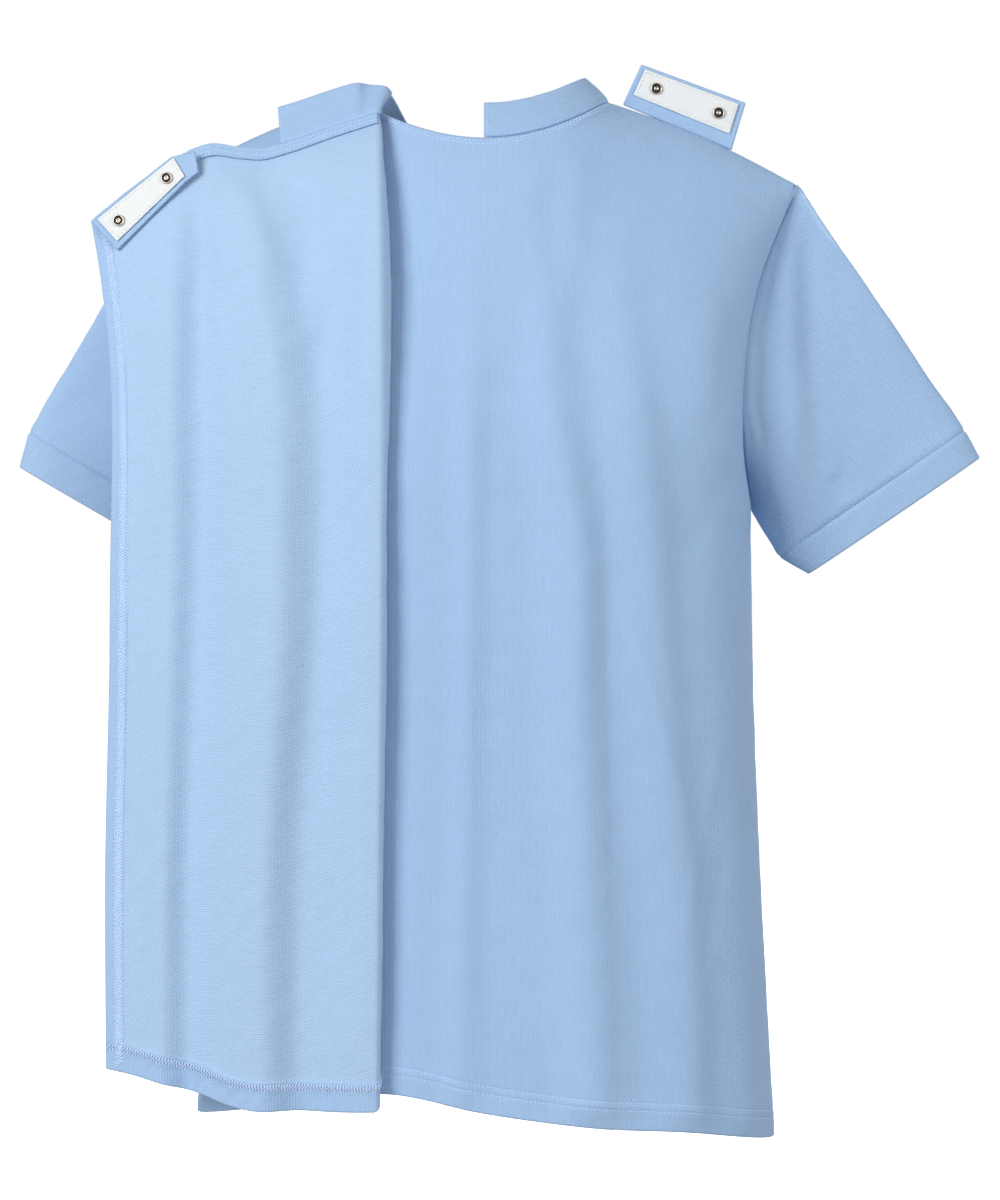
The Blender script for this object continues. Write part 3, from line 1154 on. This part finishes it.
# ---- collar and neck tape -----------------------------------------------------------------------
def neck_ring(side, face, share, height, inset=0.0):
    """Points of the standing collar over the neck edge, height 0 at the seam to 1 on top.

    A half's neck edge runs from share 0 at the centre line to NECK_SHARE at the shoulder."""
    share, height = np.broadcast_arrays(np.asarray(share, float), np.asarray(height, float))
    edge = top_edge(face, share)
    turn = np.minimum(share / NECK_SHARE, 1.0) * math.pi / 2
    top = stack(
        COLLAR_NECK_HALF * np.sin(turn),
        face * COLLAR_NECK_DEPTH[face] * np.cos(turn),
        edge[..., 2] + blend(COLLAR_RISE_CENTER, COLLAR_RISE_SIDE, np.sin(turn) ** 2),
    )
    bottom = edge + np.array((0, 0, 2 * SEAM))
    out = stack(np.sin(turn), face * np.cos(turn), 0 * turn)
    belly = COLLAR_BELLY * np.sin(math.pi * height) - inset
    point = blend(bottom, top, height[..., None]) + out * belly[..., None]
    point[..., 0] *= side
    return point


COLLAR_ROWS = np.linspace(0, 1, 21)[:, None]


def collar_band(name, grid, normals, seed):
    """Collar of a folded double layer: full at its turned top edge, pulled in at the neck seam.
    It returns its outside skin and the stitch rows on both sides of its neck seam."""
    height = run_down(grid)
    relief = seam_relief(height, 0.5) + 0.30 * MM * bump(height[-1] - height - 0.003, 0.003)
    relief = relief + 0.25 * MM * drift(run_across(grid), height, 0.022, seed)
    right, wrong = skins(grid, normals, relief, np.full(relief.shape, COLLAR_WALL))
    collar = shell(f"{name}_band", right, wrong, lengths_uv(grid), BAND)
    cloth(name)
    outside, inside = skin_lines(right, normals), skin_lines(wrong, -normals)
    rows = [running(line_down(outside, height, 0.0014)), running(line_down(inside, height, 0.0018))]
    return outside, rows


def make_collar_right():
    shares = np.linspace(0, NECK_SHARE, 44)
    lead = neck_ring(-1, 1, PLACKET_SHARE, COLLAR_ROWS, COLLAR_LAP)
    lap = COLLAR_LAP * (1 - ease(shares / 0.14))
    front = neck_ring(1, 1, shares[None, :], COLLAR_ROWS, lap[None, :])
    back = neck_ring(1, -1, np.linspace(NECK_SHARE, 0, 46)[None, 1:], COLLAR_ROWS)
    grid = np.concatenate([lead, front, back], axis=1)
    normals = grid_normals(grid, (1, 0, 0))
    outside, rows = collar_band("collar_right", grid, normals, 61)
    across = run_across(grid)
    rows.append(running(line_across(outside, across[:, -1:] - across, 0.0022)))
    sew("collar_right_stitches", rows, BLUE_THREAD, 0.00022)


# the left collar's top edge beside the fold: places across, and the height it sinks to there
SLUMP_X = (-0.100, -0.084, -0.071, -0.0644, -0.0593, -0.050)
SLUMP_Z = (0.0300, 0.0100, 0.0095, 0.0070, -0.0030, -0.0180)
# and the rounded outline of its back edge: heights, and the furthest place across at each
ROUNDED_Z = (-0.0226, -0.0103, 0.0015, 0.0075, 0.0114)
ROUNDED_X = (-0.0563, -0.0611, -0.0662, -0.0707, -0.0770)


def lean_over(grid):
    """Lets the collar lean outwards beside the fold, where the flap's weight pulls it down."""
    least_kept, lean, width, middle_x, reach = 0.25, 0.6, 11, -0.0700, 0.016
    limit = through(grid[-1, :, 0], SLUMP_X, SLUMP_Z)
    tall = np.maximum(grid[-1, :, 2] - grid[0, :, 2], 1e-6)
    kept = np.clip((limit - grid[0, :, 2]) / tall, least_kept, 1.0)
    kept = np.convolve(np.pad(kept, 2, mode="edge"), np.ones(5) / 5, mode="valid")
    above = grid[:, :, 2] - grid[None, 0, :, 2]
    grid[:, :, 2] = grid[None, 0, :, 2] + above * kept
    grid[:, :, 1] += above * np.sqrt(1 - kept**2) * lean
    # the bend is evened out along the collar
    offsets = grid[1:] - grid[:1]
    padded = np.pad(offsets, ((0, 0), (width // 2, width // 2), (0, 0)), mode="edge")
    smooth = sum(padded[:, i : i + grid.shape[1]] for i in range(width)) / width
    near = bump(grid[-1, :, 0] - middle_x, reach) * (grid[0, :, 1] < 0)
    grid[1:] = grid[:1] + blend(offsets, smooth, near[None, :, None])
    rounded = through(grid[..., 2], ROUNDED_Z, ROUNDED_X)
    back = (grid[..., 1] < 0) & (grid[..., 0] < 0)
    grid[..., 0] = np.where(back, np.minimum(grid[..., 0], rounded), grid[..., 0])


def make_collar_left(left_grid, start):
    """Left collar: it stands round the front half, bends over the fold and lies along the flap."""
    count = int(round(COLLAR_FOLDED_SHARE * FLAP))
    shares = np.linspace(0, NECK_SHARE - 0.002, 44)
    lead = neck_ring(-1, 1, PLACKET_SHARE, COLLAR_ROWS)
    lead[..., 0] *= -1
    front = neck_ring(-1, 1, shares[None, :], COLLAR_ROWS)
    back = neck_ring(-1, -1, np.linspace(NECK_SHARE, LEFT_UNDER_SHARE, 9)[None, :-1], COLLAR_ROWS)
    bottom = left_grid[0, LEFT_UNDER - 1 : start + count + 1]
    bent = ease(np.arange(len(bottom)) / (len(bottom) - 1) * 2.2)[None, :, None]
    ring = neck_ring(-1, -1, LEFT_UNDER_SHARE, COLLAR_ROWS)
    standing = ring - neck_ring(-1, -1, LEFT_UNDER_SHARE, 0.0)
    along_flap = np.array((-0.002, 0.004, COLLAR_HEIGHT)) * COLLAR_ROWS[..., None]
    folded = bottom[None] + blend(standing, along_flap, bent) + np.array((0, 0, 4 * SEAM))
    grid = np.concatenate([lead, front, back, folded], axis=1)
    lean_over(grid)
    normals = grid_normals(grid, (-1, 0, 0))
    if normals[10, 20, 0] > 0:
        normals = -normals
    _, rows = collar_band("collar_left", grid, normals, 62)
    sew("collar_left_stitches", rows, BLUE_THREAD, 0.00022)


def make_neck_tape(wrong, normals, start):
    """Jersey tape sewn over the neck seam, on the side of the flap that shows."""
    needle_rows, edge_roll = (0.0016, 0.0058, 0.0078), 0.0092
    columns = slice(start - 1, start + int(round(TAPE_SHARE * FLAP)) + 1)
    upper = wrong[0, columns]
    down = unit(wrong[3, columns] - upper)
    drop = blend(SEAM, TAPE_WIDTH, np.linspace(0, 1, 13))[:, None, None]
    grid = upper[None] + down[None] * drop - normals[4, columns] * (2 * SEAM)
    tape_normals = grid_normals(grid, (0, -1, 0))
    height = run_down(grid)
    relief = 0.55 * MM * bump(height - edge_roll, 0.0009)
    for row, depth in zip(needle_rows, (0.45, 0.40, 0.45)):
        relief = relief - depth * MM * bump(height - row, 0.0007)
    relief = relief + 0.10 * MM * drift(run_across(grid), height, 0.006, 71)
    outer = grid + tape_normals * (relief[..., None] + TAPE_THICKNESS)
    tape = shell("neck_tape_binding", outer, grid, lengths_uv(grid), BAND)
    cloth("neck_tape_left")
    outside = skin_lines(outer, tape_normals)
    rows = [running(line_down(outside, height, row)) for row in needle_rows]
    sew("neck_tape_stitches", rows, BLUE_THREAD, 0.00018)


# ---- placket and buttons ------------------------------------------------------------------------
PLACKET_ROW = 0.0028      # needle row beside each long edge
PLACKET_END_ROWS = (0.0030, 0.0150)
BUTTON_SEAT = CLOTH * 0.7 + 0.0006    # height of a button's foot over the front's form


def placket_band(name, offset, wall):
    """Folded band on the front's form; it returns its outside skin and its lengths."""
    half, rows, columns = PLACKET_SHARE * 0.955, 60, 25
    levels = np.linspace(0, 1, rows + 1) ** 1.3 * PLACKET_LENGTH_LEVEL
    shares = np.linspace(-half, half, columns)
    grid = body_points(1, shares[None, :], levels[:, None])
    normals = grid_normals(grid, (0, 1, 0))
    grid = grid + normals * offset
    across, down = run_across(grid), run_down(grid)
    edge = np.minimum(across, across[:, -1:] - across)
    relief = 0.30 * MM * bump(edge, 0.0015) - 0.30 * MM * bump(edge - PLACKET_ROW, 0.0008)
    relief = relief + 0.12 * MM * drift(across, down, 0.012, 81)
    right, wrong = skins(grid, normals, relief, np.full(relief.shape, wall))
    band = shell(f"{name}_band", right, wrong, lengths_uv(grid), BAND)
    cloth(name)
    return skin_lines(right, normals), across, down


def make_placket():
    outside, across, down = placket_band("placket_upper", CLOTH * 0.7 + 0.0004, 0.0019)
    rows = [running(line_across(outside, edge, PLACKET_ROW))
            for edge in (across, across[:, -1:] - across)]
    rows += [running(line_down(outside, down[-1] - down, away)[2:-2]) for away in PLACKET_END_ROWS]
    placket_band("placket_under", -CLOTH * 1.3, 0.0016)
    sew("placket_stitches", rows, BLUE_THREAD, FINE_THREAD)


def front_place(z):
    top_z = float(top_edge(1, np.array(0.0))[2])
    level = (z - top_z) / (ARMHOLE_Z[-1] - top_z)
    above, here, below = (body_points(1, 0.0, level + step) for step in (-0.02, 0, 0.02))
    normal = unit(np.cross(below - above, (1.0, 0, 0)))
    normal = normal if normal[1] > 0 else -normal
    return here, normal, unit(below - above)


def make_buttons():
    """Four-hole buttons with a rolled rim, sewn down with a cross of white thread, in buttonholes."""
    r, h = BUTTON_RADIUS, BUTTON_HEIGHT
    profile = [(0, 0), (0.80 * r, 0), (0.95 * r, 0.12 * h), (r, 0.42 * h), (0.985 * r, 0.75 * h),
               (0.92 * r, 0.97 * h), (0.84 * r, h), (0.76 * r, 0.94 * h), (0.70 * r, 0.80 * h),
               (0.62 * r, 0.72 * h), (0.30 * r, 0.68 * h), (0, 0.68 * h)]
    crossing = ((0, 3), (0, 3), (1, 2), (1, 2), (2, 1), (2, 1))
    for number, z in enumerate(BUTTON_Z, start=1):
        here, normal, down = front_place(z)
        place = here + normal * BUTTON_SEAT
        button = round_body(f"button_{number}_body", profile, place, normal, [RESIN])
        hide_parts(f"button_{number}")
        beside = np.cross(normal, down)
        top = place + normal * 0.70 * h
        holes = np.array([top + (down * a + beside * b) * 0.20 * r for a in (-1, 1) for b in (-1, 1)])
        spread = np.array([0.16, -0.16] * 3)[:, None] * MM * beside
        starts, ends = (holes[list(picked)] + spread for picked in zip(*crossing))
        rows = [(starts, ends, np.repeat(normal[None], len(crossing), axis=0)),
                thread_ends(holes, normal, 0.085 * r)]
        sew(f"button_{number}_thread", rows, WHITE_THREAD, 0.00026)
        make_buttonhole(number, place, normal, down, beside)


def thread_ends(holes, normal, radius):
    """Small raised thread ends over each hole."""
    side = unit(np.cross(normal, (0.3, 0.1, 1.0)))
    return holes - side * radius, holes + side * radius, np.repeat(normal[None], len(holes), axis=0)


def make_buttonhole(number, place, normal, down, beside):
    """Buttonhole stitches that stand outwards round a long oval."""
    half_length, half_width, stitch_down, stitch_across = 7.8 * MM, 1.1 * MM, 0.9 * MM, 1.1 * MM
    around = np.linspace(0, 2 * math.pi, 56, endpoint=False)[:, None]
    oval = place + down * np.cos(around) * half_length + beside * np.sin(around) * half_width
    outward = down * np.cos(around) * stitch_down + beside * np.sin(around) * stitch_across
    lifts = np.repeat(normal[None], len(oval), axis=0)
    beads(f"buttonhole_{number}", oval, oval + outward, lifts, 0.00025, BLUE_THREAD)


# ---- shoulder tabs, snap tapes and snaps ----------------------------------------------------------
def tab_points(tab, along, down):
    """Points of a tab at shares of its length and of its height."""
    top, bottom = (
        np.stack([np.interp(along, tab["shares"], axis) for axis in zip(*tab[edge])], axis=-1)
        for edge in ("top", "bottom")
    )
    return blend(top, bottom, down[..., None])


def tab_skins(tab, low, high, lift, wall, columns, rows, seed, curl=0.0):
    """Two skins over part of a tab, between two corners, with lengths and the distance to an edge."""
    along = np.linspace(low[0], high[0], columns)[None, :] * np.ones((rows, 1))
    down = np.linspace(low[1], high[1], rows)[:, None] * np.ones((1, columns))
    grid = tab_points(tab, along, down)
    grid[..., 2] -= 1.6 * SEAM * ease(down * 4 - 3)
    normals = grid_normals(grid, (0, -1, 0))
    across, length = run_across(grid), run_down(grid)
    ends = {"near": across, "far": across[:, -1:] - across,
            "top": length, "bottom": length[-1:] - length}
    edge = np.minimum.reduce(list(ends.values()))
    relief = curl * bump(edge, 0.0014) + 0.15 * MM * drift(across, length, 0.020, seed)
    right = grid + normals * (relief + lift)[..., None]
    return lengths_uv(grid), normals, right, right - normals * wall, ends, edge


def make_tab(name, tab):
    """Double-cloth tab, the white tape sewn on it all round, and two snaps set in the tape."""
    uv, _, right, wrong, _, _ = tab_skins(
        tab, (0, 0), (1, 1), 0.0, TAB_WALL, 81, 41, 91, 0.35 * MM)
    body = shell(f"shoulder_tab_{name}_cloth", right, wrong, uv, BAND)
    cloth(f"shoulder_tab_{name}")
    low, high = tab["tape"]
    uv, normals, right, wrong, ends, edge = tab_skins(
        tab, low, high, TAPE_THICKNESS + 2 * SEAM, TAPE_THICKNESS, 73, 33, 92)
    right = right - normals * (0.25 * MM * bump(edge - TAPE_ROW, 0.0006))[..., None]
    tape = shell(f"snap_tape_{name}_twill", right, wrong, uv, [TWILL, TWILL])
    cloth(f"snap_tape_{name}")
    outside = skin_lines(right, normals)
    lines = [line_down(outside, ends[end], TAPE_ROW) for end in ("top", "bottom")]
    lines += [line_across(outside, ends[end], TAPE_ROW) for end in ("near", "far")]
    sew(f"snap_tape_{name}_stitches", [running(line[2:-2]) for line in lines], WHITE_THREAD, 0.00022)
    for number, (along, down) in enumerate(tab["snaps"], start=1):
        make_snap(name, number, tab_points(tab, np.array(along), np.array(down)), normals[16, 36])


def make_snap(name, number, place, normal):
    """Socket half of a ring snap: a rolled nickel cap round a brass well with its spring."""
    r, h = SNAP_RADIUS, SNAP_HEIGHT
    cap = [(0, 0), (0.96, 0), (1, 0.10), (1.0, 0.28), (0.97, 0.50), (0.91, 0.68), (0.84, 0.76)]
    well = [(0.77, 0.72), (0.71, 0.56), (0.67, 0.30), (0.62, 0.14), (0.55, 0.12), (0.48, 0.18),
            (0.43, 0.40)]
    spring = [(0.40, 0.58), (0.34, 0.68), (0.26, 0.68), (0.19, 0.56), (0.14, 0.42), (0.07, 0.38),
              (0, 0.38)]
    profile = [(across * r, up * h) for across, up in cap + well + spring]
    metals = [0] * len(cap) + [1] * len(well) + [0] * (len(spring) - 1)
    seat = place + normal * (TAPE_THICKNESS + 3 * SEAM)
    snap = round_body(f"snap_{name}_{number}_cap", profile, seat, normal, [NICKEL, SNAP_CORE], 56, metals)
    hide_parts(f"snap_{name}_{number}")


# ---- camera, light and floor ----------------------------------------------------------------------
CAMERA_PLACE = (0.01095, -4.0, -0.36135)
VIEW_HEIGHT = 0.876       # of what the camera sees, in the plane Y = 0
SENSOR = 36.0
FLOOR_Z = -0.80
ROOM_LIGHT = 0.39         # strength of the all-round light
FLOOR_GLOW = 1.0          # the floor's own white, which lights nothing else


def add_camera():
    data = bpy.data.cameras.new("camera")
    data.sensor_width = SENSOR
    data.lens = SENSOR * -CAMERA_PLACE[1] / VIEW_HEIGHT
    data.clip_start, data.clip_end = 0.05, 60.0
    camera = bpy.data.objects.new("camera", data)
    camera.location = CAMERA_PLACE
    camera.rotation_euler = (math.pi / 2, 0, 0)
    bpy.context.scene.collection.objects.link(camera)
    bpy.context.scene.camera = camera


def add_softbox(name, place, aim, size, power):
    data = bpy.data.lights.new(name, "AREA")
    data.shape = "RECTANGLE"
    data.size, data.size_y = size
    data.energy = power
    light = bpy.data.objects.new(name, data)
    light.location = place
    toward = np.array(aim) - np.array(place)
    flat = math.hypot(toward[0], toward[1])
    turn = math.atan2(toward[1], toward[0]) - math.pi / 2
    light.rotation_euler = (math.atan2(flat, -toward[2]), 0, turn)
    bpy.context.scene.collection.objects.link(light)


def add_studio():
    world = bpy.data.worlds.new("white studio")
    world.use_nodes = True
    background = world.node_tree.nodes["Background"]
    background.inputs["Color"].default_value = (1.0, 1.0, 1.0, 1)
    # the backdrop itself is lit to white, and it gives the cloth a weaker all-round light
    ray = add_node(world.node_tree, "ShaderNodeLightPath", (), "Is Camera Ray")
    strength = weighted(world.node_tree, ROOM_LIGHT, (ray, 1 - ROOM_LIGHT))
    world.node_tree.links.new(strength, background.inputs["Strength"])
    bpy.context.scene.world = world
    middle = (0, 0, -0.35)
    add_softbox("key softbox", (-2.75, -2.80, 0.9), middle, (1.6, 2.1), 124)
    add_softbox("fill softbox", (2.9, -2.7, 0.4), middle, (2.0, 2.0), 53)
    add_softbox("far side softbox", (1.2, 3.6, 1.0), middle, (1.6, 2.0), 70)
    mesh = bpy.data.meshes.new("floor")
    reach = 40.0
    corners = [(-reach, -reach, FLOOR_Z), (reach, -reach, FLOOR_Z), (reach, reach, FLOOR_Z),
               (-reach, reach, FLOOR_Z)]
    mesh.from_pydata(corners, [], [[0, 1, 2, 3]])
    paper, _, _ = new_material("white studio floor paint", {
        "Base Color": srgb("#F4F4F4"), "Roughness": 0.95, "Specular IOR Level": 0.1,
        "Emission Color": (1.0, 1.0, 1.0, 1), "Emission Strength": FLOOR_GLOW,
    })
    mesh.materials.append(paper)
    floor = bpy.data.objects.new("floor", mesh)
    floor.visible_diffuse = False
    floor.visible_glossy = False
    bpy.context.scene.collection.objects.link(floor)
    bpy.context.scene.view_settings.view_transform = "Standard"


add_camera()
add_studio()
make_front()
make_back_right()
left_grid, left_wrong, left_normals, flap_start = make_back_left()
make_sleeve(1, "right")
make_sleeve(-1, "left")
make_collar_right()
make_collar_left(left_grid, flap_start)
make_neck_tape(left_wrong, left_normals, flap_start)
make_placket()
make_buttons()
make_tab("right", RIGHT_TAB)
make_tab("left", LEFT_TAB)
